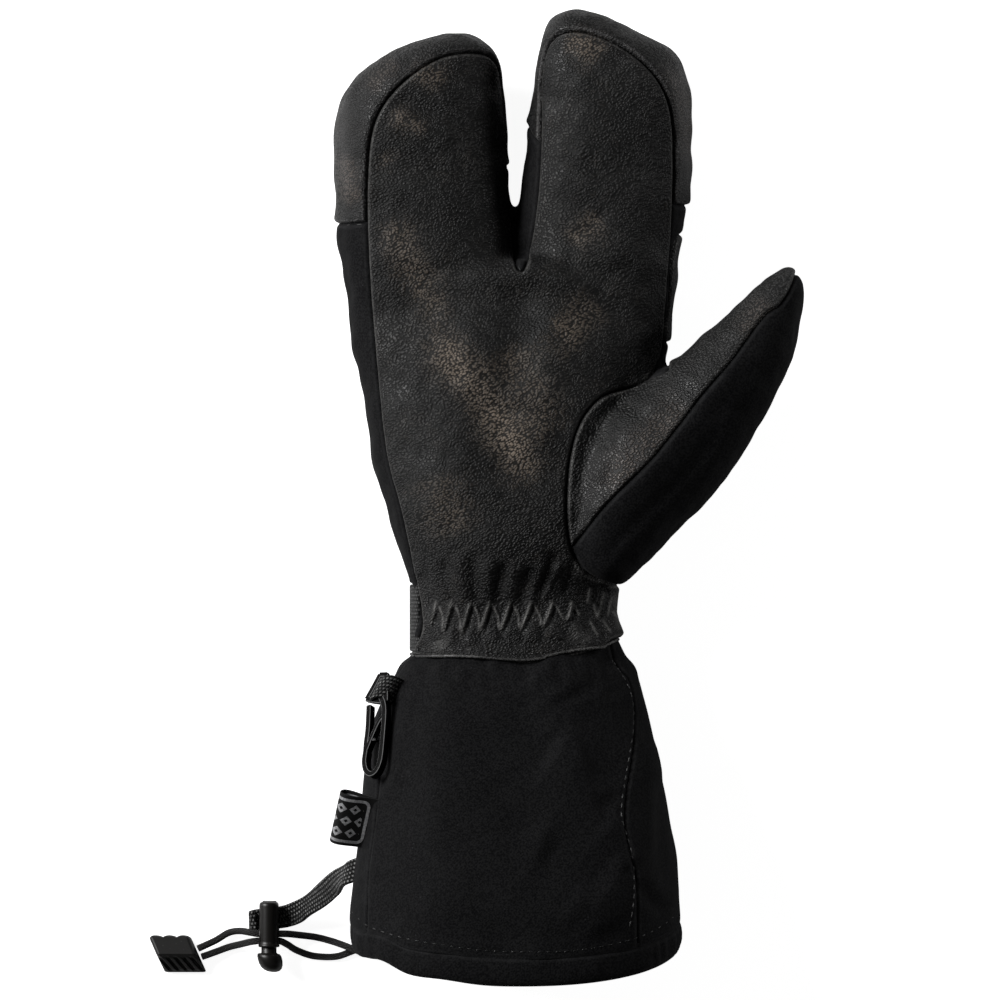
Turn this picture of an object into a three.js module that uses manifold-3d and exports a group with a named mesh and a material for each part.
// A right-hand lobster claw mitt: two stalls of two fingers each, a thumb, a gathered wrist and a
// long gauntlet with a drawcord hem. It lies on its back, palm up: +X is to the thumb side, +Y to
// the fingertips and +Z up from the surface it lies on. The origin is under the middle of the mitt.
import * as THREE from 'three';
import { mergeVertices } from 'three/addons/utils/BufferGeometryUtils.js';
import Module from 'manifold-3d';

const wasm = await Module();
wasm.setup();

// Driving dimensions, in millimetres
const LENGTH = 350;
const HAND_WIDTH = 120;
const HAND_THICKNESS = 60;
const HAND_WALL = 4.5;
const GAUNTLET_WIDTH = 119;
const GAUNTLET_DEPTH = 80;
const GAUNTLET_WALL = 2;
const HEM_WIDTH = 11.5;
const HEM_WALL = 3.4;
const HEM_PROUD = 0.8;
const HEM_RISE = 18;
const THUMB_LENGTH = 111;
const THUMB_WIDTH = 50;
const THUMB_DEPTH = 51;
const THUMB_LIFT = 14;
const THUMB_SPLAY = THREE.MathUtils.degToRad(40);
const STRAP_WALL = 1.6;
const STRAP_WIDTH = 24;
const SEAM_GAP = 0.3;
const CLIP_THICKNESS = 3.4;
const CLIP_RING_THICKNESS = 2.2;
const CLIP_BAR = 2;
const CLIP_WEBBING_WALL = 1.2;
const CLIP_WEBBING_WIDTH = 8.4;
const LABEL_WIDTH = 20;
const LABEL_REACH = 12;
const LABEL_OPENING = 5;
const LABEL_WALL = 0.7;
const TETHER_WIDTH = 9;
const TETHER_WALL = 2.2;
const LOCK_DIAMETER = 7;
const LOCK_LENGTH = 16.4;
const LOCK_WALL = 0.9;
const LOCK_CAP = 2;
const BUTTON_DIAMETER = 9;
const BUTTON_LENGTH = 5.4;
const BUTTON_TRAVEL = 2.1;
const CORD_DIAMETER = 2.5;
const PULL_LENGTH = 15;
const PULL_WIDTH = 13;
const PULL_HEIGHT = 8.2;

// Roundness of the sections: 2 is an ellipse, more is squarer
const HAND_ROUNDNESS = 2.4;
const THUMB_ROUNDNESS = 2.3;
const GAUNTLET_ROUNDNESS = 2.4;
const PALM_SIDES = 22;
const STALL_SIDES = 18;
const THUMB_SIDES = 18;
const GAUNTLET_SIDES = 28;
const LATHE_SIDES = 16;
const CORD_SIDES = 8;
const CORD_STEP = 5.5;

// Sections of the hand. at is a share of LENGTH from the hem, left and right are shares of
// HAND_WIDTH from the fork's line, low and high are shares of HAND_THICKNESS above the surface.
const PALM_SECTIONS = [
  { at: 0.303, left: -0.306, right: 0.339, low: 0.083, high: 0.833 },
  { at: 0.345, left: -0.312, right: 0.333, low: 0.100, high: 0.833 },
  { at: 0.386, left: -0.309, right: 0.303, low: 0.100, high: 0.833 },
  { at: 0.411, left: -0.315, right: 0.309, low: 0.067, high: 0.867 },
  { at: 0.442, left: -0.339, right: 0.336, low: 0.017, high: 0.933 },
  { at: 0.478, left: -0.375, right: 0.363, low: -0.033, high: 0.967 },
  { at: 0.530, left: -0.420, right: 0.387, low: -0.042, high: 0.975 },
  { at: 0.591, left: -0.447, right: 0.420, low: -0.042, high: 0.950 },
  { at: 0.653, left: -0.486, right: 0.456, low: -0.033, high: 0.900 },
  { at: 0.705, left: -0.507, right: 0.477, low: -0.025, high: 0.850 },
  { at: 0.737, left: -0.519, right: 0.489, low: -0.017, high: 0.833 },
  { at: 0.744, left: -0.513, right: 0.483, low: 0.033, high: 0.783 },
];
const OUTER_STALL_SECTIONS = [
  { at: 0.705, left: -0.504, right: -0.015, low: 0.000, high: 0.767 },
  { at: 0.744, left: -0.522, right: 0.007, low: -0.017, high: 0.833 },
  { at: 0.782, left: -0.534, right: -0.006, low: -0.017, high: 0.817 },
  { at: 0.828, left: -0.543, right: -0.021, low: -0.008, high: 0.817 },
  { at: 0.879, left: -0.539, right: -0.033, low: 0.017, high: 0.833 },
  { at: 0.921, left: -0.507, right: -0.042, low: 0.058, high: 0.833 },
  { at: 0.945, left: -0.444, right: -0.051, low: 0.108, high: 0.808 },
  { at: 0.962, left: -0.357, right: -0.072, low: 0.167, high: 0.775 },
  { at: 0.973, left: -0.261, right: -0.105, low: 0.258, high: 0.717 },
  { at: 0.979, left: -0.201, right: -0.144, low: 0.350, high: 0.633 },
];
const INNER_STALL_SECTIONS = [
  { at: 0.705, left: 0.045, right: 0.471, low: 0.000, high: 0.767 },
  { at: 0.744, left: 0.018, right: 0.489, low: -0.017, high: 0.833 },
  { at: 0.782, left: 0.006, right: 0.507, low: -0.017, high: 0.817 },
  { at: 0.828, left: 0.024, right: 0.526, low: -0.008, high: 0.833 },
  { at: 0.890, left: 0.045, right: 0.531, low: 0.017, high: 0.850 },
  { at: 0.936, left: 0.061, right: 0.513, low: 0.067, high: 0.850 },
  { at: 0.964, left: 0.073, right: 0.459, low: 0.117, high: 0.825 },
  { at: 0.982, left: 0.087, right: 0.363, low: 0.175, high: 0.783 },
  { at: 0.996, left: 0.114, right: 0.270, low: 0.258, high: 0.725 },
  { at: 1.002, left: 0.144, right: 0.219, low: 0.350, high: 0.633 },
];

// Sections along the thumb. at is a share of THUMB_LENGTH from its root, inner (to the fingers)
// and outer are shares of THUMB_WIDTH from its axis, low and high are shares of THUMB_DEPTH.
const THUMB_ROOT = { x: 0.255, y: 0.4865 };
const THUMB_SECTIONS = [
  { at: -0.169, inner: -0.043, outer: -0.331, low: 0.314, high: 0.745 },
  { at: -0.143, inner: 0.043, outer: -0.410, low: 0.196, high: 0.824 },
  { at: -0.065, inner: 0.173, outer: -0.468, low: 0.078, high: 0.902 },
  { at: 0.065, inner: 0.360, outer: -0.497, low: 0.000, high: 0.961 },
  { at: 0.227, inner: 0.432, outer: -0.529, low: 0.000, high: 1.000 },
  { at: 0.357, inner: 0.396, outer: -0.533, low: 0.020, high: 1.000 },
  { at: 0.487, inner: 0.317, outer: -0.500, low: 0.059, high: 0.990 },
  { at: 0.649, inner: 0.256, outer: -0.428, low: 0.118, high: 0.961 },
  { at: 0.789, inner: 0.212, outer: -0.331, low: 0.176, high: 0.902 },
  { at: 0.880, inner: 0.184, outer: -0.223, low: 0.235, high: 0.843 },
  { at: 0.942, inner: 0.155, outer: -0.137, low: 0.294, high: 0.784 },
  { at: 0.981, inner: 0.122, outer: -0.058, low: 0.373, high: 0.725 },
  { at: 0.997, inner: 0.094, outer: -0.007, low: 0.431, high: 0.667 },
];

// Sections of the gauntlet. at is a share of LENGTH from the hem, left and right are shares of
// GAUNTLET_WIDTH, low and high are shares of GAUNTLET_DEPTH. Above them it follows the wrist.
const GAUNTLET_SECTIONS = [
  { at: 0.000, left: -0.502, right: 0.499, low: -0.037, high: 1.010 },
  { at: 0.046, left: -0.502, right: 0.499, low: -0.037, high: 1.010 },
  { at: 0.098, left: -0.487, right: 0.490, low: -0.025, high: 0.990 },
  { at: 0.149, left: -0.469, right: 0.469, low: -0.012, high: 0.937 },
  { at: 0.201, left: -0.457, right: 0.445, low: 0.000, high: 0.875 },
  { at: 0.252, left: -0.436, right: 0.414, low: 0.012, high: 0.800 },
  { at: 0.293, left: -0.393, right: 0.384, low: 0.037, high: 0.725 },
  { at: 0.324, left: -0.348, right: 0.360, low: 0.056, high: 0.660 },
];

// Hollows and folds pressed into the upper side. x and across are shares of the width, y and along
// shares of LENGTH, depth a share of the thickness.
const HAND_DENTS = [
  { x: -0.045, y: 0.580, across: 0.160, along: 0.080, depth: 0.045 },
  { x: 0.020, y: 0.675, across: 0.060, along: 0.055, depth: 0.045 },
];
const GAUNTLET_FOLDS = [
  { x: 0.240, y: 0.180, across: 0.060, along: 0.090, depth: 0.025 },
  { x: -0.300, y: 0.130, across: 0.060, along: 0.080, depth: 0.020 },
  { x: 0.020, y: 0.250, across: 0.080, along: 0.060, depth: 0.015 },
];

// Seams as seen from the palm side: each point is a share of HAND_WIDTH and a share of LENGTH
const PALM_SEAM = [
  [-0.312, 0.343], [-0.282, 0.363], [-0.282, 0.390], [-0.309, 0.437], [-0.345, 0.492],
  [-0.387, 0.550], [-0.420, 0.653], [-0.441, 0.752], [-0.444, 0.828], [-0.424, 0.885],
  [-0.354, 0.923], [-0.237, 0.952], [-0.129, 0.959], [-0.066, 0.951], [-0.045, 0.921],
  [-0.033, 0.875], [-0.021, 0.807], [-0.003, 0.750], [0.015, 0.732], [0.036, 0.744],
  [0.058, 0.783], [0.072, 0.828], [0.079, 0.879], [0.083, 0.936], [0.111, 0.971],
  [0.186, 0.981], [0.309, 0.967], [0.410, 0.939], [0.462, 0.905], [0.475, 0.859],
  [0.471, 0.792], [0.453, 0.710], [0.435, 0.648], [0.384, 0.620], [0.255, 0.604],
  [0.183, 0.569], [0.156, 0.514], [0.162, 0.458], [0.210, 0.425], [0.306, 0.411],
  [0.405, 0.406], [0.420, 0.300], [-0.320, 0.300],
];
const THUMB_SEAM = [
  [0.459, 0.631], [0.384, 0.620], [0.255, 0.604], [0.183, 0.569], [0.156, 0.514],
  [0.162, 0.458], [0.210, 0.425], [0.306, 0.411],
];
const THUMB_OUTSIDE = [
  [0.375, 0.375], [0.615, 0.375], [1.035, 0.580], [1.035, 0.786], [0.795, 0.786], [0.462, 0.658],
];
const THUMB_RIDGE = [
  [0.120, 0.431], [0.177, 0.453], [0.276, 0.495], [0.417, 0.544], [0.561, 0.607],
  [0.645, 0.641], [0.744, 0.687], [0.792, 0.699], [0.828, 0.718], [0.855, 0.744],
];
const THUMB_INNER_SIDE = [[0.840, 0.800], [0.300, 0.800], [0.060, 0.600], [0.060, 0.431]];
const OUTER_CAP_LINE = [
  [-0.645, 0.784], [-0.444, 0.785], [-0.225, 0.807], [-0.024, 0.842], [0.012, 0.849],
];
const INNER_CAP_LINE = [
  [0.018, 0.888], [0.043, 0.884], [0.078, 0.865], [0.255, 0.828], [0.474, 0.803], [0.570, 0.805],
];
const FORK_GUSSET = [
  [-0.066, 0.770], [-0.050, 0.735], [-0.010, 0.705], [0.015, 0.698], [0.060, 0.710],
  [0.100, 0.745], [0.118, 0.790], [0.122, 0.900], [-0.070, 0.900], [-0.074, 0.830],
];
const INDEX_PATCH = [
  [0.498, 0.772], [0.480, 0.764], [0.469, 0.743], [0.459, 0.694], [0.446, 0.664],
  [0.560, 0.664], [0.560, 0.772],
];
const WRIST_LINE = [
  [-0.700, 0.345], [-0.312, 0.343], [-0.105, 0.337], [0.075, 0.336], [0.225, 0.349],
  [0.330, 0.364], [0.700, 0.380],
];

// Gauntlet seams on its front: each point is a share of GAUNTLET_WIDTH and a share of LENGTH
const FRONT_LEFT_SEAM = [
  [-0.354, 0.390], [-0.354, 0.334], [-0.375, 0.293], [-0.396, 0.252], [-0.411, 0.211],
  [-0.427, 0.159], [-0.445, 0.108], [-0.451, 0.030],
];
const FRONT_RIGHT_SEAM = [
  [0.372, 0.030], [0.369, 0.103], [0.351, 0.133], [0.333, 0.165], [0.336, 0.196],
  [0.357, 0.242], [0.363, 0.281], [0.346, 0.314], [0.296, 0.339], [0.260, 0.390],
];

// The strap round the wrist: where it starts, as a share of LENGTH, and how far up it comes on
// each side, as shares of HAND_THICKNESS
const STRAP_AT = 0.3435;
const STRAP_LEFT_LEVEL = 0.65;
const STRAP_RIGHT_LEVEL = 0.43;

// The clip: its place on the flank in shares of GAUNTLET_WIDTH and LENGTH, the slope of its plane
// across and along, and its bars in millimetres across and along its own plane
const CLIP_PLACE = { x: -0.399, y: 0.287 };
const CLIP_LEAN = 0.84;
const CLIP_PITCH = 0.565;
const CLIP_RING_BAR = 2.2;
const CLIP_HOOK = [
  [CLIP_RING_BAR, 0.9], [1.3, -4.2], [0.9, -12.3], [-0.4, -25.1], [-1.8, -26.9],
  [-4.4, -27.6], [-7.3, -24.6], [-8.4, -20.2], [-7.6, -16.5],
];
const CLIP_STRUT = [[-7.6, -16.5], [-1.3, -6.2], [1.3, -4.2]];
const CLIP_GATE = [[-7.6, -16.5], [-6.7, -9.8], [-6.7, 2.2]];
const CLIP_RING = [
  [CLIP_RING_BAR, 0.9], [CLIP_RING_BAR, 14.4], [-0.9, 14.4], [-7.1, 5.3], [CLIP_RING_BAR, 0.9],
];
const CLIP_WEBBING_TOP = 12.4;
const CLIP_WEBBING_TAIL = [[1.2, -2.9], [3.8, -1.6], [9.8, -8.4], [11.7, -6.7], [4.8, 1.3], [1.4, 2.9]];

// The label loop: its root in shares of GAUNTLET_WIDTH, LENGTH and GAUNTLET_DEPTH, its upward
// heading, and how far its tail runs into the seam
const LABEL_PLACE = { x: -0.452, y: 0.167, z: 0.6 };
const LABEL_HEADING = [0.2, 0.89, 0.4];
const LABEL_SEWN = 6;

// Places by the hem, in millimetres: from its left end, from its lower edge, above the surface
const TETHER_BED = 1.45;
const TETHER_LEVEL = TETHER_BED + TETHER_WALL / 2;
const TETHER_END = { x: -34.5, y: 22.4 };
const TETHER_ROUTE = [
  { at: [5.0, 42.0, 35.0], across: [0, 1, 0.2] },
  { at: [0.5, 40.6, 33.0], across: [0, 1, 0.25] },
  { at: [-2.6, 38.0, 27.0], across: [0, 1, 0.4] },
  { at: [-5.8, 35.0, 20.0], across: [0, 1, 0.5] },
  { at: [-9.8, 31.2, 13.0], across: [0, 1, 0.4] },
  { at: [-14.2, 27.6, 7.6], across: [0, 1, 0.2] },
  { at: [-18.4, 24.6, 4.2], across: [0, 1, 0.1] },
  { at: [-23.0, 22.8, TETHER_LEVEL], across: [0, 1, 0] },
  { at: [-28.7, TETHER_END.y, TETHER_LEVEL], across: [0, 1, 0] },
  { at: [TETHER_END.x, TETHER_END.y, TETHER_LEVEL], across: [0, 1, 0] },
];
const LOCK_PLACE = { x: -28.7, y: 12.4 };
const CORD_LANES = [14.6, 17.2];

// The button's rounded head: shares of its radius and of its length from its end
const BUTTON_PROFILE = [
  { out: 0.00, up: 0.00 },
  { out: 0.55, up: 0.06 },
  { out: 0.87, up: 0.24 },
  { out: 1.00, up: 0.50 },
  { out: 0.95, up: 0.80 },
  { out: 0.75, up: 1.00 },
];

// The barrel's frame, which the tether passes through, and the pull at the end of the cord
const FRAME_WALL = 1.6;
const FRAME_WIDTH = 5;
const FRAME_CLEARANCE = 0.1;
const PULL_PLACE = { x: -51.6, y: 3.6 };
const PULL_SKEW = 0.45;
const PULL_SECTION = [[0.06, 0], [0.94, 0], [1, 0.55], [0.5, 1], [0, 0.3]];

// The drawcord's runs, by the hem as above: out of the hem channel to the cordlock, and on to
// the pull. The second run passes over the first.
const CORD_ROUTES = {
  drawcord_hem_run_a: [
    [9.2, 17.2, 15.9], [9.1, 15.8, 15.4], [8.4, 14.4, 11.8], [6.9, 13.2, 6.4], [4.6, 12.0, 2.6],
    [0.6, 10.2, 1.4], [-4.9, 8.5, 1.35], [-12.8, 8.8, 1.5], [-18.8, 11.0, 3.6],
    [-22.0, 13.2, 6.2], [-24.9, 14.6, 7.45],
  ],
  drawcord_hem_run_b: [
    [18.7, 17.2, 7.2], [18.7, 15.4, 6.8], [17.8, 12.6, 5.2], [15.6, 10.2, 3.9], [12.2, 9.0, 4.0],
    [7.6, 9.4, 5.2], [2.6, 11.2, 5.6], [-2.0, 12.9, 3.6], [-6.6, 14.3, 1.5], [-11.8, 15.6, 1.5],
    [-18.4, 16.6, 4.2], [-21.8, 17.1, 6.6], [-24.9, 17.2, 7.45],
  ],
  drawcord_pull_run_a: [
    [-32.5, 14.6, 7.45], [-35.4, 14.2, 6.6], [-39.0, 13.2, 3.6], [-43.5, 12.0, 1.7],
    [-48.0, 10.4, 2.4], [-53.2, 8.6, 3.6],
  ],
  drawcord_pull_run_b: [
    [-32.5, 17.2, 7.45], [-35.4, 17.6, 6.7], [-39.4, 18.0, 3.8], [-43.6, 17.2, 1.8],
    [-48.4, 14.4, 2.4], [-54.6, 11.6, 3.7],
  ],
};

// Levels of the side seams above the surface, as shares of the thickness that they follow
const PALM_LEVEL = 0.467 * HAND_THICKNESS;
const THUMB_LEVEL = 0.333 * HAND_THICKNESS;
const GUSSET_LEVEL = 0.133 * HAND_THICKNESS;
const PATCH_LEVEL = 0.233 * HAND_THICKNESS;
const FRONT_LEVEL = 0.425 * GAUNTLET_DEPTH;
const TOP_LEVEL = 3 * HAND_THICKNESS;
const DEEP_LEVEL = -HAND_THICKNESS;

// Cuts leave slivers: corners closer to a straight edge than this are taken out, and so are loose
// bodies of less than this volume in cubic millimetres
const CUT_TOLERANCE = 0.02;
const SLIVER_VOLUME = 1;

// Surface finishes
const leather = (color) => new THREE.MeshStandardMaterial({ color, roughness: 0.52, metalness: 0 });
const softshell = (color) => new THREE.MeshStandardMaterial({ color, roughness: 0.9, metalness: 0 });
const webbing = (color) => new THREE.MeshStandardMaterial({ color, roughness: 0.85, metalness: 0 });
const plastic = (color) => new THREE.MeshStandardMaterial({ color, roughness: 0.4, metalness: 0 });
const sleeve = (color) => new THREE.MeshStandardMaterial({ color, roughness: 0.7, metalness: 0 });

// Solids from closed meshes, and back
function solidOf(geometry) {
  const bare = geometry.clone();
  bare.deleteAttribute('normal');
  bare.deleteAttribute('uv');
  const merged = mergeVertices(bare, 1e-4);
  const corners = Array.from(merged.index.array);
  const kept = [];
  for (let start = 0; start < corners.length; start += 3) {
    const triangle = corners.slice(start, start + 3);
    if (new Set(triangle).size === 3) {
      kept.push(...triangle);
    }
  }
  merged.setIndex(kept);
  facingOut(merged);
  const mesh = new wasm.Mesh({
    numProp: 3,
    vertProperties: new Float32Array(merged.attributes.position.array),
    triVerts: new Uint32Array(merged.index.array),
  });
  return new wasm.Manifold(mesh);
}

function geometryOf(solid) {
  const whole = solid.decompose()
    .filter((body) => body.volume() > SLIVER_VOLUME)
    .reduce((joined, body) => joined.add(body));
  const mesh = whole.simplify(CUT_TOLERANCE).getMesh();
  const geometry = new THREE.BufferGeometry();
  geometry.setAttribute('position', new THREE.BufferAttribute(mesh.vertProperties, 3));
  geometry.setIndex(new THREE.BufferAttribute(mesh.triVerts, 1));
  geometry.computeVertexNormals();
  return geometry;
}

// A closed mesh through rings of points; closed joins the last ring to the first instead of
// covering the ends
function loft(rings, closed = false) {
  const sides = rings[0].length;
  const points = rings.flat();
  const index = [];
  const bands = closed ? rings.length : rings.length - 1;
  for (let band = 0; band < bands; band += 1) {
    const here = band * sides;
    const next = ((band + 1) % rings.length) * sides;
    for (let side = 0; side < sides; side += 1) {
      const other = (side + 1) % sides;
      index.push(here + side, next + side, next + other);
      index.push(here + side, next + other, here + other);
    }
  }
  if (!closed) {
    const last = (rings.length - 1) * sides;
    for (let side = 1; side < sides - 1; side += 1) {
      index.push(0, side, side + 1);
      index.push(last, last + side + 1, last + side);
    }
  }
  const geometry = new THREE.BufferGeometry();
  const places = points.flatMap((point) => point.toArray());
  geometry.setAttribute('position', new THREE.Float32BufferAttribute(places, 3));
  geometry.setIndex(index);
  geometry.computeVertexNormals();
  return facingOut(geometry);
}

// The mesh with its faces turned out, whichever way its rings ran
function facingOut(geometry) {
  const position = geometry.attributes.position;
  const index = geometry.index.array;
  const corner = [0, 1, 2].map(() => new THREE.Vector3());
  let volume = 0;
  for (let start = 0; start < index.length; start += 3) {
    corner.forEach((point, turn) => point.fromBufferAttribute(position, index[start + turn]));
    volume += corner[0].dot(corner[1].cross(corner[2]));
  }
  if (volume < 0) {
    for (let start = 0; start < index.length; start += 3) {
      [index[start], index[start + 1]] = [index[start + 1], index[start]];
    }
    geometry.computeVertexNormals();
  }
  return geometry;
}

// Offsets of a superellipse's points round its middle
function superellipse(sides, roundness) {
  const power = 2 / roundness;
  return Array.from({ length: sides }, (_, side) => {
    const angle = (side / sides) * 2 * Math.PI;
    const across = Math.cos(angle);
    const up = Math.sin(angle);
    return {
      across: Math.sign(across) * Math.abs(across) ** power,
      up: Math.sign(up) * Math.abs(up) ** power,
    };
  });
}

// How far the upper side is pressed in at a place
function dentAt(table, x, y, thickness) {
  const depths = table.map((row) => {
    const spread = ((x - row.x) / row.across) ** 2 + ((y - row.y) / row.along) ** 2;
    return row.depth * Math.exp(-spread);
  });
  return thickness * depths.reduce((sum, depth) => sum + depth, 0);
}

// A span from low to high, drawn in by a wall and never turned inside out
function span(low, high, wall) {
  const middle = (low + high) / 2;
  const half = Math.max((high - low) / 2 - wall, 1);
  return { middle, half };
}

// A prism over an outline seen from the palm side
function prism(outline, low, high) {
  const shape = new THREE.Shape(outline);
  const geometry = new THREE.ExtrudeGeometry(shape, { depth: high - low, bevelEnabled: false });
  geometry.translate(0, 0, low);
  return solidOf(geometry);
}

// An outline's points from shares of a width and of LENGTH
function outlineOf(shares, width = HAND_WIDTH) {
  return shares.map(([x, y]) => new THREE.Vector2(x * width, y * LENGTH));
}

// An outline moved outwards by a distance
function grown(outline, distance) {
  const turn = Math.sign(THREE.ShapeUtils.area(outline));
  const count = outline.length;
  return outline.map((point, place) => {
    const before = outline[(place + count - 1) % count];
    const after = outline[(place + 1) % count];
    const first = point.clone().sub(before).normalize();
    const second = after.clone().sub(point).normalize();
    const normal = new THREE.Vector2(first.y + second.y, -first.x - second.x).normalize();
    const lean = Math.max(0.4, normal.dot(new THREE.Vector2(first.y, -first.x)));
    return point.clone().addScaledVector(normal, (turn * distance) / lean);
  });
}

// A panel's cutter, and the same cutter with the seam's gap round it
function panelCutter(outline, low, high) {
  return {
    panel: prism(outline, low, high),
    clear: prism(grown(outline, SEAM_GAP), low - SEAM_GAP, high),
  };
}

// The hand: outer form less inner form
function handRings(table, sides, wall) {
  const round = superellipse(sides, HAND_ROUNDNESS);
  const base = table[0].at * LENGTH;
  const tip = table[table.length - 1].at * LENGTH;
  const shorten = (tip - wall - base) / (tip - base);
  return table.map((row) => {
    const x = span(row.left * HAND_WIDTH, row.right * HAND_WIDTH, wall);
    const z = span(row.low * HAND_THICKNESS, row.high * HAND_THICKNESS, wall);
    const y = base + (row.at * LENGTH - base) * shorten;
    return round.map(({ across, up }) => {
      const point = new THREE.Vector3(x.middle + x.half * across, y, z.middle + z.half * up);
      const dent = dentAt(HAND_DENTS, point.x / HAND_WIDTH, y / LENGTH, HAND_THICKNESS);
      point.z = Math.max(point.z - Math.max(up, 0) * dent, wall);
      return point;
    });
  });
}

const thumbAlong = new THREE.Vector3(Math.sin(THUMB_SPLAY), Math.cos(THUMB_SPLAY), 0);
const thumbAcross = new THREE.Vector3(-Math.cos(THUMB_SPLAY), Math.sin(THUMB_SPLAY), 0);
const thumbRoot = new THREE.Vector3(THUMB_ROOT.x * HAND_WIDTH, THUMB_ROOT.y * LENGTH, THUMB_LIFT);

function thumbRings(wall) {
  const round = superellipse(THUMB_SIDES, THUMB_ROUNDNESS);
  return THUMB_SECTIONS.map((row) => {
    const across = span(row.outer * THUMB_WIDTH, row.inner * THUMB_WIDTH, wall);
    const up = span(row.low * THUMB_DEPTH, row.high * THUMB_DEPTH, wall);
    const reach = row.at > 0 ? row.at * (THUMB_LENGTH - wall) : row.at * THUMB_LENGTH + wall;
    return round.map((offset) => thumbRoot.clone()
      .addScaledVector(thumbAlong, reach)
      .addScaledVector(thumbAcross, across.middle + across.half * offset.across)
      .add(new THREE.Vector3(0, 0, up.middle + up.half * offset.up)));
  });
}

function handForm(wall) {
  const palm = solidOf(loft(handRings(PALM_SECTIONS, PALM_SIDES, wall)));
  const outer = solidOf(loft(handRings(OUTER_STALL_SECTIONS, STALL_SIDES, wall)));
  const inner = solidOf(loft(handRings(INNER_STALL_SECTIONS, STALL_SIDES, wall)));
  const thumb = solidOf(loft(thumbRings(wall)));
  return palm.add(outer).add(inner).add(thumb);
}

const belowWrist = [[0.700, -0.100], [-0.700, -0.100]];
const wristDown = outlineOf([...WRIST_LINE, ...belowWrist]);
const gauntletSide = prism(wristDown, DEEP_LEVEL, TOP_LEVEL);
const gauntletSideClear = prism(grown(wristDown, SEAM_GAP), DEEP_LEVEL, TOP_LEVEL);

const handShell = handForm(0).subtract(handForm(HAND_WALL)).subtract(gauntletSideClear);

// Cutters of the hand's panels
const palmCut = panelCutter(outlineOf(PALM_SEAM), PALM_LEVEL, TOP_LEVEL);
const thumbCut = panelCutter(outlineOf([...THUMB_SEAM, ...THUMB_OUTSIDE]), THUMB_LEVEL, TOP_LEVEL);
const outerCapCut = panelCutter(
  outlineOf([...OUTER_CAP_LINE, [0.012, 1.100], [-0.645, 1.100]]), DEEP_LEVEL, TOP_LEVEL,
);
const innerCapCut = panelCutter(
  outlineOf([...INNER_CAP_LINE, [0.570, 1.100], [0.018, 1.100]]), DEEP_LEVEL, TOP_LEVEL,
);
const gussetCut = panelCutter(outlineOf(FORK_GUSSET), GUSSET_LEVEL, TOP_LEVEL);
const patchCut = panelCutter(outlineOf(INDEX_PATCH), PATCH_LEVEL, TOP_LEVEL);

const palmPanel = handShell.intersect(palmCut.panel);
const afterPalm = handShell.subtract(palmCut.clear);
const outerCap = afterPalm.intersect(outerCapCut.panel);
const innerCap = afterPalm.intersect(innerCapCut.panel);
const afterCaps = afterPalm.subtract(outerCapCut.clear).subtract(innerCapCut.clear);
const thumbPanels = afterCaps.intersect(thumbCut.panel);
const ridgeOutline = outlineOf([...THUMB_RIDGE, ...THUMB_INNER_SIDE]);
const thumbLeather = thumbPanels.intersect(prism(ridgeOutline, DEEP_LEVEL, TOP_LEVEL));
const thumbShell = thumbPanels.subtract(prism(grown(ridgeOutline, SEAM_GAP), DEEP_LEVEL, TOP_LEVEL));
const afterThumb = afterCaps.subtract(thumbCut.clear);
const gusset = afterThumb.intersect(gussetCut.panel);
const afterGusset = afterThumb.subtract(gussetCut.clear);
const patch = afterGusset.intersect(patchCut.panel);
const backShell = afterGusset.subtract(patchCut.clear);

// The gauntlet: rings that hang lower at the front than at the back
const wristRows = PALM_SECTIONS.slice(1, 3).map((row) => ({
  at: row.at,
  left: (row.left * HAND_WIDTH) / GAUNTLET_WIDTH,
  right: (row.right * HAND_WIDTH) / GAUNTLET_WIDTH,
  low: (row.low * HAND_THICKNESS) / GAUNTLET_DEPTH,
  high: (row.high * HAND_THICKNESS) / GAUNTLET_DEPTH,
}));
const gauntletRows = [...GAUNTLET_SECTIONS, ...wristRows];
const wristAt = wristRows[0].at;

function gauntletRow(at) {
  const above = Math.max(1, gauntletRows.findIndex((row) => row.at >= at));
  const lower = gauntletRows[above - 1];
  const upper = gauntletRows[above];
  const share = (at - lower.at) / (upper.at - lower.at);
  const mix = (key) => lower[key] + (upper[key] - lower[key]) * share;
  return { at, left: mix('left'), right: mix('right'), low: mix('low'), high: mix('high') };
}

// A point of the gauntlet's wall, inset from its outer face, at an angle from the thumb side
function gauntletPoint(at, offset, inset) {
  const row = gauntletRow(at);
  const x = span(row.left * GAUNTLET_WIDTH, row.right * GAUNTLET_WIDTH, inset);
  const z = span(row.low * GAUNTLET_DEPTH, row.high * GAUNTLET_DEPTH, inset);
  const depthShare = (1 - offset.up) / 2;
  const hang = Math.max(0, 1 - at / wristAt);
  const rise = HEM_RISE * hang * (1 - (1 - depthShare) ** 3);
  const across = x.middle + x.half * offset.across;
  const fold = dentAt(GAUNTLET_FOLDS, across / GAUNTLET_WIDTH, at, GAUNTLET_DEPTH);
  const height = z.middle + z.half * offset.up - Math.max(offset.up, 0) * fold;
  return new THREE.Vector3(across, at * LENGTH + rise, Math.max(height, inset));
}

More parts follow.
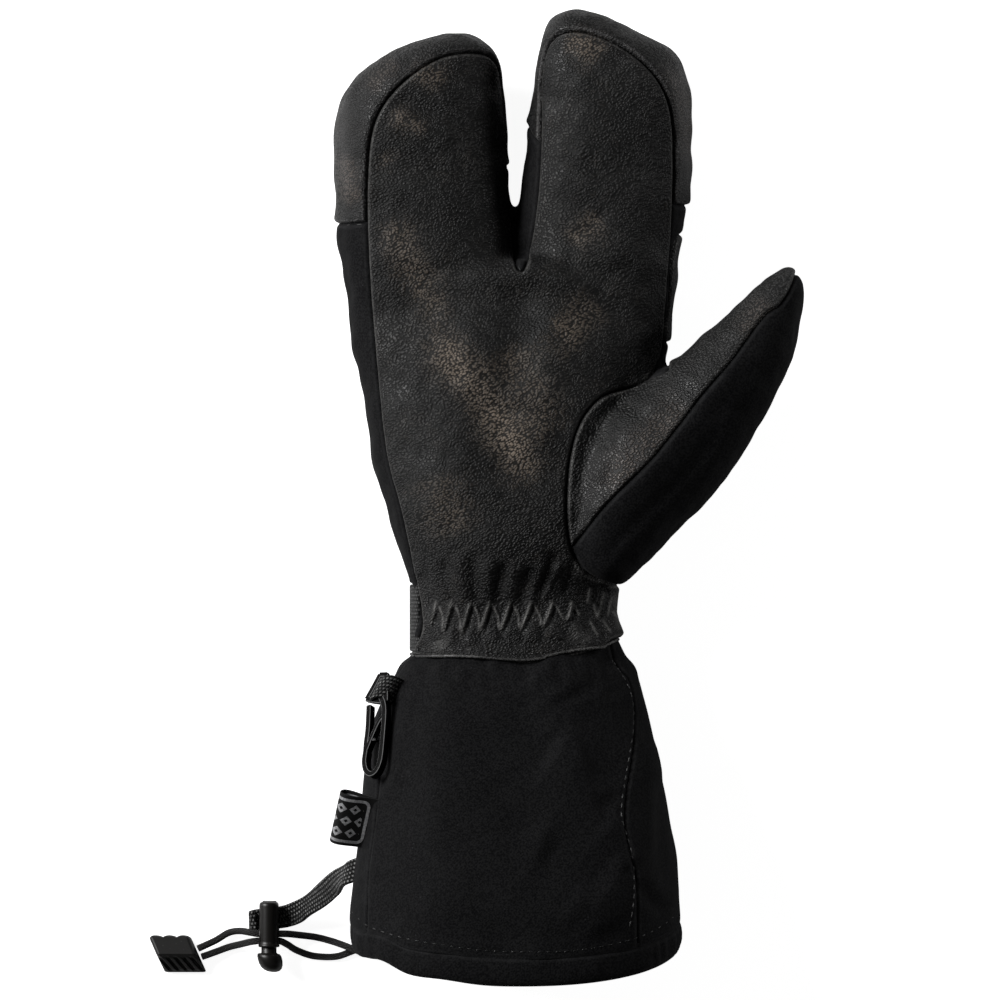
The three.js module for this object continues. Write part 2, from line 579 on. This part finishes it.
const gauntletRound = superellipse(GAUNTLET_SIDES, GAUNTLET_ROUNDNESS);
const gauntletRing = (at, inset) => gauntletRound.map((offset) => gauntletPoint(at, offset, inset));
const hemTopAt = HEM_WIDTH / LENGTH;
const panelStart = (HEM_WIDTH + SEAM_GAP) / LENGTH;
const sleeveStations = [panelStart, ...gauntletRows.map((row) => row.at).filter((at) => at > panelStart)];
const gauntletWall = solidOf(loft([
  ...sleeveStations.map((at) => gauntletRing(at, 0)),
  ...sleeveStations.map((at) => gauntletRing(at, GAUNTLET_WALL)).reverse(),
], true)).intersect(gauntletSide);
const belowHem = [[-0.451, -0.050], [0.372, -0.050]];
const frontShares = [...FRONT_LEFT_SEAM, ...belowHem, ...FRONT_RIGHT_SEAM];
const frontCut = panelCutter(outlineOf(frontShares, GAUNTLET_WIDTH), FRONT_LEVEL, TOP_LEVEL);
const gauntletFront = gauntletWall.intersect(frontCut.panel);
const gauntletBack = gauntletWall.subtract(frontCut.clear);

const hemInset = -HEM_PROUD;
const hemRing = (at, inset) => gauntletRound.map((offset) => {
  const point = gauntletPoint(at, offset, inset);
  point.z = Math.max(point.z, inset - hemInset);
  return point;
});
const hem = loft([
  hemRing(0, hemInset),
  hemRing(hemTopAt, hemInset),
  hemRing(hemTopAt, hemInset + HEM_WALL),
  hemRing(0, hemInset + HEM_WALL),
], true);

// The webbing strap round the back of the wrist, from the palm's seam to the thumb side
function boxSolid(low, high) {
  const size = high.clone().sub(low);
  const geometry = new THREE.BoxGeometry(size.x, size.y, size.z);
  const middle = low.clone().add(high).multiplyScalar(0.5);
  geometry.translate(middle.x, middle.y, middle.z);
  return solidOf(geometry);
}

const strapForm = (outset) => solidOf(loft(handRings(PALM_SECTIONS, PALM_SIDES, -outset)));
const strapLow = STRAP_AT * LENGTH;
const strapFar = 2 * HAND_WIDTH;
const strapSpace = boxSolid(
  new THREE.Vector3(-strapFar, strapLow, DEEP_LEVEL),
  new THREE.Vector3(0, strapLow + STRAP_WIDTH, STRAP_LEFT_LEVEL * HAND_THICKNESS),
).add(boxSolid(
  new THREE.Vector3(0, strapLow, DEEP_LEVEL),
  new THREE.Vector3(strapFar, strapLow + STRAP_WIDTH, STRAP_RIGHT_LEVEL * HAND_THICKNESS),
));
const strap = strapForm(SEAM_GAP + STRAP_WALL)
  .subtract(strapForm(SEAM_GAP))
  .subtract(gauntletSideClear)
  .intersect(strapSpace);

// The gauntlet's outer form, grown by the gap that sewn-on pieces keep to it
const formStations = [-0.02, ...gauntletRows.map((row) => row.at)];
const gauntletForm = solidOf(loft(formStations.map((at) => gauntletRing(Math.max(at, 0), -SEAM_GAP)
  .map((point) => point.setY(point.y + Math.min(at, 0) * LENGTH)))));

// The clip lies against the gauntlet's flank. Its plane just clears every point of the flank.
const clipNormal = new THREE.Vector3(-CLIP_LEAN, CLIP_PITCH, 1).normalize();
const clipUp = new THREE.Vector3(0, 1, -CLIP_PITCH).normalize();
const clipAcross = new THREE.Vector3().crossVectors(clipUp, clipNormal);
const flankStations = [0.19, 0.21, 0.23, 0.25, 0.27, 0.29, 0.31];
const flankReach = Math.max(...flankStations
  .flatMap((at) => gauntletRing(at, 0))
  .map((point) => point.dot(clipNormal)));
const clipPlace = new THREE.Vector3(CLIP_PLACE.x * GAUNTLET_WIDTH, CLIP_PLACE.y * LENGTH, 0);
const clipLift = flankReach + SEAM_GAP + CLIP_THICKNESS / 2;
clipPlace.z = (clipLift - clipPlace.dot(clipNormal)) / clipNormal.z;
const clipFrame = new THREE.Matrix4()
  .makeBasis(clipAcross, clipUp, clipNormal)
  .setPosition(clipPlace);

// A bar with round ends, lying in the clip's plane
function bar(from, to, width, thickness) {
  const start = new THREE.Vector2(...from);
  const end = new THREE.Vector2(...to);
  const heading = end.clone().sub(start).angle();
  const shape = new THREE.Shape();
  shape.absarc(end.x, end.y, width / 2, heading - Math.PI / 2, heading + Math.PI / 2, false);
  shape.absarc(start.x, start.y, width / 2, heading + Math.PI / 2, heading + 1.5 * Math.PI, false);
  const geometry = new THREE.ExtrudeGeometry(shape, {
    depth: thickness, bevelEnabled: false, curveSegments: 3,
  });
  geometry.translate(0, 0, -thickness / 2);
  return solidOf(geometry);
}

function bars(route, width, thickness) {
  return route.slice(1)
    .map((point, place) => bar(route[place], point, width, thickness))
    .reduce((joined, next) => joined.add(next));
}

const clip = bars(CLIP_HOOK, CLIP_BAR, CLIP_THICKNESS)
  .add(bars(CLIP_STRUT, CLIP_BAR, CLIP_THICKNESS))
  .add(bars(CLIP_GATE, CLIP_BAR, CLIP_THICKNESS))
  .add(bars(CLIP_RING, CLIP_BAR, CLIP_RING_THICKNESS));
const clipGeometry = geometryOf(clip).applyMatrix4(clipFrame);

// The short webbing loop that holds the clip's ring: a fold round the ring's inner bar, whose
// two layers run to the gauntlet's side seam
const foldHole = Math.hypot(CLIP_BAR / 2, CLIP_RING_THICKNESS / 2) + SEAM_GAP;
const foldOuter = foldHole + CLIP_WEBBING_WALL;
const foldShape = new THREE.Shape();
foldShape.absarc(CLIP_RING_BAR, 0, foldOuter, Math.PI / 2, 1.5 * Math.PI, false);
CLIP_WEBBING_TAIL.forEach(([across, up]) => foldShape.lineTo(CLIP_RING_BAR + across, up));
const foldSpace = new THREE.Path();
foldSpace.absarc(CLIP_RING_BAR, 0, foldHole, Math.PI / 3, 5 * Math.PI / 3, false);
foldSpace.lineTo(CLIP_RING_BAR + 1.5 * foldHole, 0);
foldShape.holes.push(foldSpace);
const foldGeometry = new THREE.ExtrudeGeometry(foldShape, {
  depth: CLIP_WEBBING_WIDTH, bevelEnabled: false, curveSegments: 6,
});
// The section's plane is the clip's across and normal, and it runs along the clip
foldGeometry.applyMatrix4(new THREE.Matrix4().makeBasis(
  new THREE.Vector3(1, 0, 0), new THREE.Vector3(0, 0, 1), new THREE.Vector3(0, -1, 0),
));
foldGeometry.translate(0, CLIP_WEBBING_TOP, 0);
foldGeometry.applyMatrix4(clipFrame);
const clipWebbing = solidOf(foldGeometry).subtract(gauntletForm);

// The folded label loop in the same side seam: a drop-shaped loop of woven tape
const labelRoot = new THREE.Vector3(
  LABEL_PLACE.x * GAUNTLET_WIDTH,
  LABEL_PLACE.y * LENGTH,
  LABEL_PLACE.z * GAUNTLET_DEPTH,
);
const labelAlong = new THREE.Vector3(...LABEL_HEADING).normalize();
const labelAcross = new THREE.Vector3(1, 0, 0).addScaledVector(labelAlong, -labelAlong.x).normalize();
const labelNormal = new THREE.Vector3().crossVectors(labelAcross, labelAlong);
const labelRadius = LABEL_OPENING / 2;
const labelMiddle = labelRadius - LABEL_REACH;
const labelShape = new THREE.Shape();
labelShape.absarc(labelMiddle, 0, labelRadius, Math.PI / 2, 1.5 * Math.PI, false);
labelShape.lineTo(0, -LABEL_WALL);
labelShape.lineTo(LABEL_SEWN, -LABEL_WALL);
labelShape.lineTo(LABEL_SEWN, LABEL_WALL);
labelShape.lineTo(0, LABEL_WALL);
const labelSpace = new THREE.Path();
labelSpace.absarc(labelMiddle, 0, labelRadius - LABEL_WALL, Math.PI / 2, 1.5 * Math.PI, false);
labelSpace.lineTo(-2 * LABEL_WALL, 0);
labelShape.holes.push(labelSpace);
const labelGeometry = new THREE.ExtrudeGeometry(labelShape, {
  depth: LABEL_WIDTH, bevelEnabled: false, curveSegments: 6,
});
const labelFrame = new THREE.Matrix4()
  .makeBasis(labelAcross, labelNormal, labelAlong.clone().negate())
  .setPosition(labelRoot.clone().addScaledVector(labelAlong, LABEL_WIDTH / 2));
labelGeometry.applyMatrix4(labelFrame);
const label = solidOf(labelGeometry).subtract(gauntletForm);

// Places by the hem: from its left end, from its lower edge and above the surface
const hemLeft = Math.min(...hemRing(0, hemInset).map((point) => point.x));
const byHem = ([x, y, z]) => new THREE.Vector3(hemLeft + x, y, z);

// The flat webbing tether, from the side seam down to the cordlock
function ribbon(stations, width, thickness) {
  const middles = stations.map((station) => byHem(station.at));
  return loft(stations.map((station, place) => {
    const before = middles[Math.max(place - 1, 0)];
    const after = middles[Math.min(place + 1, middles.length - 1)];
    const heading = after.clone().sub(before).normalize();
    const hint = new THREE.Vector3(...station.across);
    const across = hint.addScaledVector(heading, -hint.dot(heading)).normalize();
    const up = new THREE.Vector3().crossVectors(heading, across);
    return [[-1, -1], [1, -1], [1, 1], [-1, 1]].map(([side, face]) => middles[place].clone()
      .addScaledVector(across, (side * width) / 2)
      .addScaledVector(up, (face * thickness) / 2));
  }));
}

const tether = solidOf(ribbon(TETHER_ROUTE, TETHER_WIDTH, TETHER_WALL)).subtract(gauntletForm);

// The cordlock: a barrel on a webbing slot, with a slot across it for the two cord runs
const lockTop = LOCK_PLACE.y + LOCK_LENGTH;
const lockBore = LOCK_DIAMETER / 2 - LOCK_WALL;
const lathe = (profile) => new THREE.LatheGeometry(
  profile.map(([radius, height]) => new THREE.Vector2(radius, height)), LATHE_SIDES,
);

// A slot across the lock, for cords that lie side by side along its axis
function crossSlot(from, to, width) {
  const shape = new THREE.Shape();
  shape.absarc(to - width / 2, 0, width / 2, -Math.PI / 2, Math.PI / 2, false);
  shape.absarc(from + width / 2, 0, width / 2, Math.PI / 2, 1.5 * Math.PI, false);
  const reach = 2 * LOCK_DIAMETER;
  const geometry = new THREE.ExtrudeGeometry(shape, {
    depth: 2 * reach, bevelEnabled: false, curveSegments: 5,
  });
  geometry.translate(0, 0, -reach);
  geometry.applyMatrix4(new THREE.Matrix4().makeBasis(
    new THREE.Vector3(0, 1, 0), new THREE.Vector3(0, 0, 1), new THREE.Vector3(1, 0, 0),
  ));
  return solidOf(geometry);
}

const slotWidth = CORD_DIAMETER + 2 * SEAM_GAP;
const slotFrom = CORD_LANES[0] - slotWidth / 2 - LOCK_PLACE.y;
const slotTo = CORD_LANES[1] + slotWidth / 2 - LOCK_PLACE.y;
const lockAxisHeight = TETHER_BED + TETHER_WALL + SEAM_GAP + LOCK_DIAMETER / 2;
const frameFrom = TETHER_END.y - TETHER_WIDTH / 2 - SEAM_GAP - FRAME_WALL - LOCK_PLACE.y;
const frameTo = TETHER_END.y + TETHER_WIDTH / 2 + SEAM_GAP - LOCK_PLACE.y;
const frameFloor = FRAME_CLEARANCE - lockAxisHeight;
const frameSide = FRAME_WIDTH / 2;
const post = (from) => boxSolid(
  new THREE.Vector3(-frameSide, from, frameFloor),
  new THREE.Vector3(frameSide, from + FRAME_WALL, -lockBore - LOCK_WALL / 2),
);
const lockPlate = boxSolid(
  new THREE.Vector3(-frameSide, frameFrom, frameFloor),
  new THREE.Vector3(frameSide, frameTo + FRAME_WALL, TETHER_BED - SEAM_GAP - lockAxisHeight),
);
const lockBarrel = solidOf(lathe([
  [0, LOCK_LENGTH], [LOCK_DIAMETER / 2, LOCK_LENGTH], [LOCK_DIAMETER / 2, 0],
  [lockBore, 0], [lockBore, LOCK_LENGTH - LOCK_CAP], [0, LOCK_LENGTH - LOCK_CAP],
])).subtract(crossSlot(slotFrom, slotTo, slotWidth)).add(post(frameFrom)).add(post(frameTo)).add(lockPlate);
const lockFrame = new THREE.Matrix4().setPosition(byHem([LOCK_PLACE.x, LOCK_PLACE.y, lockAxisHeight]));

// The button's stem slides in the barrel. Its own slot is long enough to clear the cords when
// the button is pressed.
const headTop = -SEAM_GAP - BUTTON_TRAVEL;
const headBottom = headTop - BUTTON_LENGTH;
const headRadius = BUTTON_DIAMETER / 2;
const stemRadius = lockBore - SEAM_GAP;
const stemTop = LOCK_LENGTH - LOCK_CAP - SEAM_GAP - BUTTON_TRAVEL;
const headProfile = BUTTON_PROFILE.map(({ out, up }) => [
  out * headRadius, headBottom + up * BUTTON_LENGTH,
]);
const button = solidOf(lathe([
  ...headProfile,
  [stemRadius, headTop],
  [stemRadius, stemTop],
  [0, stemTop],
])).subtract(crossSlot(slotFrom - BUTTON_TRAVEL, slotTo, slotWidth));

// The cord pull: a grip with a sloping top plate and a sloping ridged face
const pullOutline = PULL_SECTION.map(([x, y]) => new THREE.Vector2(x * PULL_WIDTH, y * PULL_HEIGHT));
const pullShape = new THREE.Shape(pullOutline);
const pullGeometry = new THREE.ExtrudeGeometry(pullShape, { depth: PULL_LENGTH, bevelEnabled: false });
pullGeometry.translate(0, 0, -PULL_LENGTH);
pullGeometry.applyMatrix4(new THREE.Matrix4().makeBasis(
  new THREE.Vector3(-PULL_SKEW, 1, 0), new THREE.Vector3(0, 0, 1), new THREE.Vector3(1, 0, 0),
));
const pullPlace = byHem([PULL_PLACE.x, PULL_PLACE.y, 0]);
pullGeometry.translate(pullPlace.x, pullPlace.y, pullPlace.z);

// A run of drawcord
function cord(route) {
  const points = route.map(byHem);
  const curve = new THREE.CatmullRomCurve3(points, false, 'centripetal');
  const circle = Array.from({ length: CORD_SIDES }, (_, side) => {
    const angle = ((side + 0.5) / CORD_SIDES) * 2 * Math.PI;
    return new THREE.Vector2(Math.cos(angle), Math.sin(angle)).multiplyScalar(CORD_DIAMETER / 2);
  });
  const steps = Math.round(curve.getLength() / CORD_STEP);
  return new THREE.ExtrudeGeometry(new THREE.Shape(circle), { extrudePath: curve, steps });
}

// The assembly
const mitt = new THREE.Group();
const onCord = [];
function addPart(name, geometry, material) {
  const mesh = new THREE.Mesh(geometry, material);
  mesh.name = name;
  mitt.add(mesh);
  return mesh;
}

addPart('palm_leather', geometryOf(palmPanel), leather(0x1f1d1c));
addPart('outer_fingers_cap', geometryOf(outerCap), leather(0x343233));
addPart('inner_fingers_cap', geometryOf(innerCap), leather(0x343233));
addPart('back_shell', geometryOf(backShell), softshell(0x1b1b1c));
addPart('fork_gusset', geometryOf(gusset), softshell(0x161617));
addPart('index_side_patch', geometryOf(patch), leather(0x242223));
addPart('thumb_leather', geometryOf(thumbLeather), leather(0x2a292a));
addPart('thumb_shell', geometryOf(thumbShell), softshell(0x1b1b1c));
addPart('wrist_webbing', geometryOf(strap), webbing(0x1a1a1a));
addPart('gauntlet_front', geometryOf(gauntletFront), softshell(0x141415));
addPart('gauntlet_back', geometryOf(gauntletBack), softshell(0x141415));
addPart('hem_channel', hem, softshell(0x161617));
addPart('clip_webbing_loop', geometryOf(clipWebbing), webbing(0x161616));
addPart('glove_clip', clipGeometry, plastic(0x151515));
addPart('label_loop', geometryOf(label), webbing(0x303030));
addPart('toggle_tether', geometryOf(tether), webbing(0x1a1a1a));
addPart('cordlock_barrel', geometryOf(lockBarrel).applyMatrix4(lockFrame), plastic(0x1c1c1c));
addPart('cordlock_button', geometryOf(button).applyMatrix4(lockFrame), plastic(0x232222));
Object.entries(CORD_ROUTES).forEach(([name, route]) => {
  onCord.push(addPart(name, cord(route), sleeve(0x1c1c1c)));
});
onCord.push(addPart('cord_pull', pullGeometry, plastic(0x2a2a2a)));

// The origin goes under the middle of everything but the drawcord and its pull
const extent = new THREE.Box3();
mitt.children.filter((mesh) => !onCord.includes(mesh)).forEach((mesh) => extent.expandByObject(mesh));
const middle = extent.getCenter(new THREE.Vector3());
mitt.position.set(-middle.x, -middle.y, -extent.min.z);
const part = new THREE.Group();
part.add(mitt);
part.updateMatrixWorld(true);

export default part;
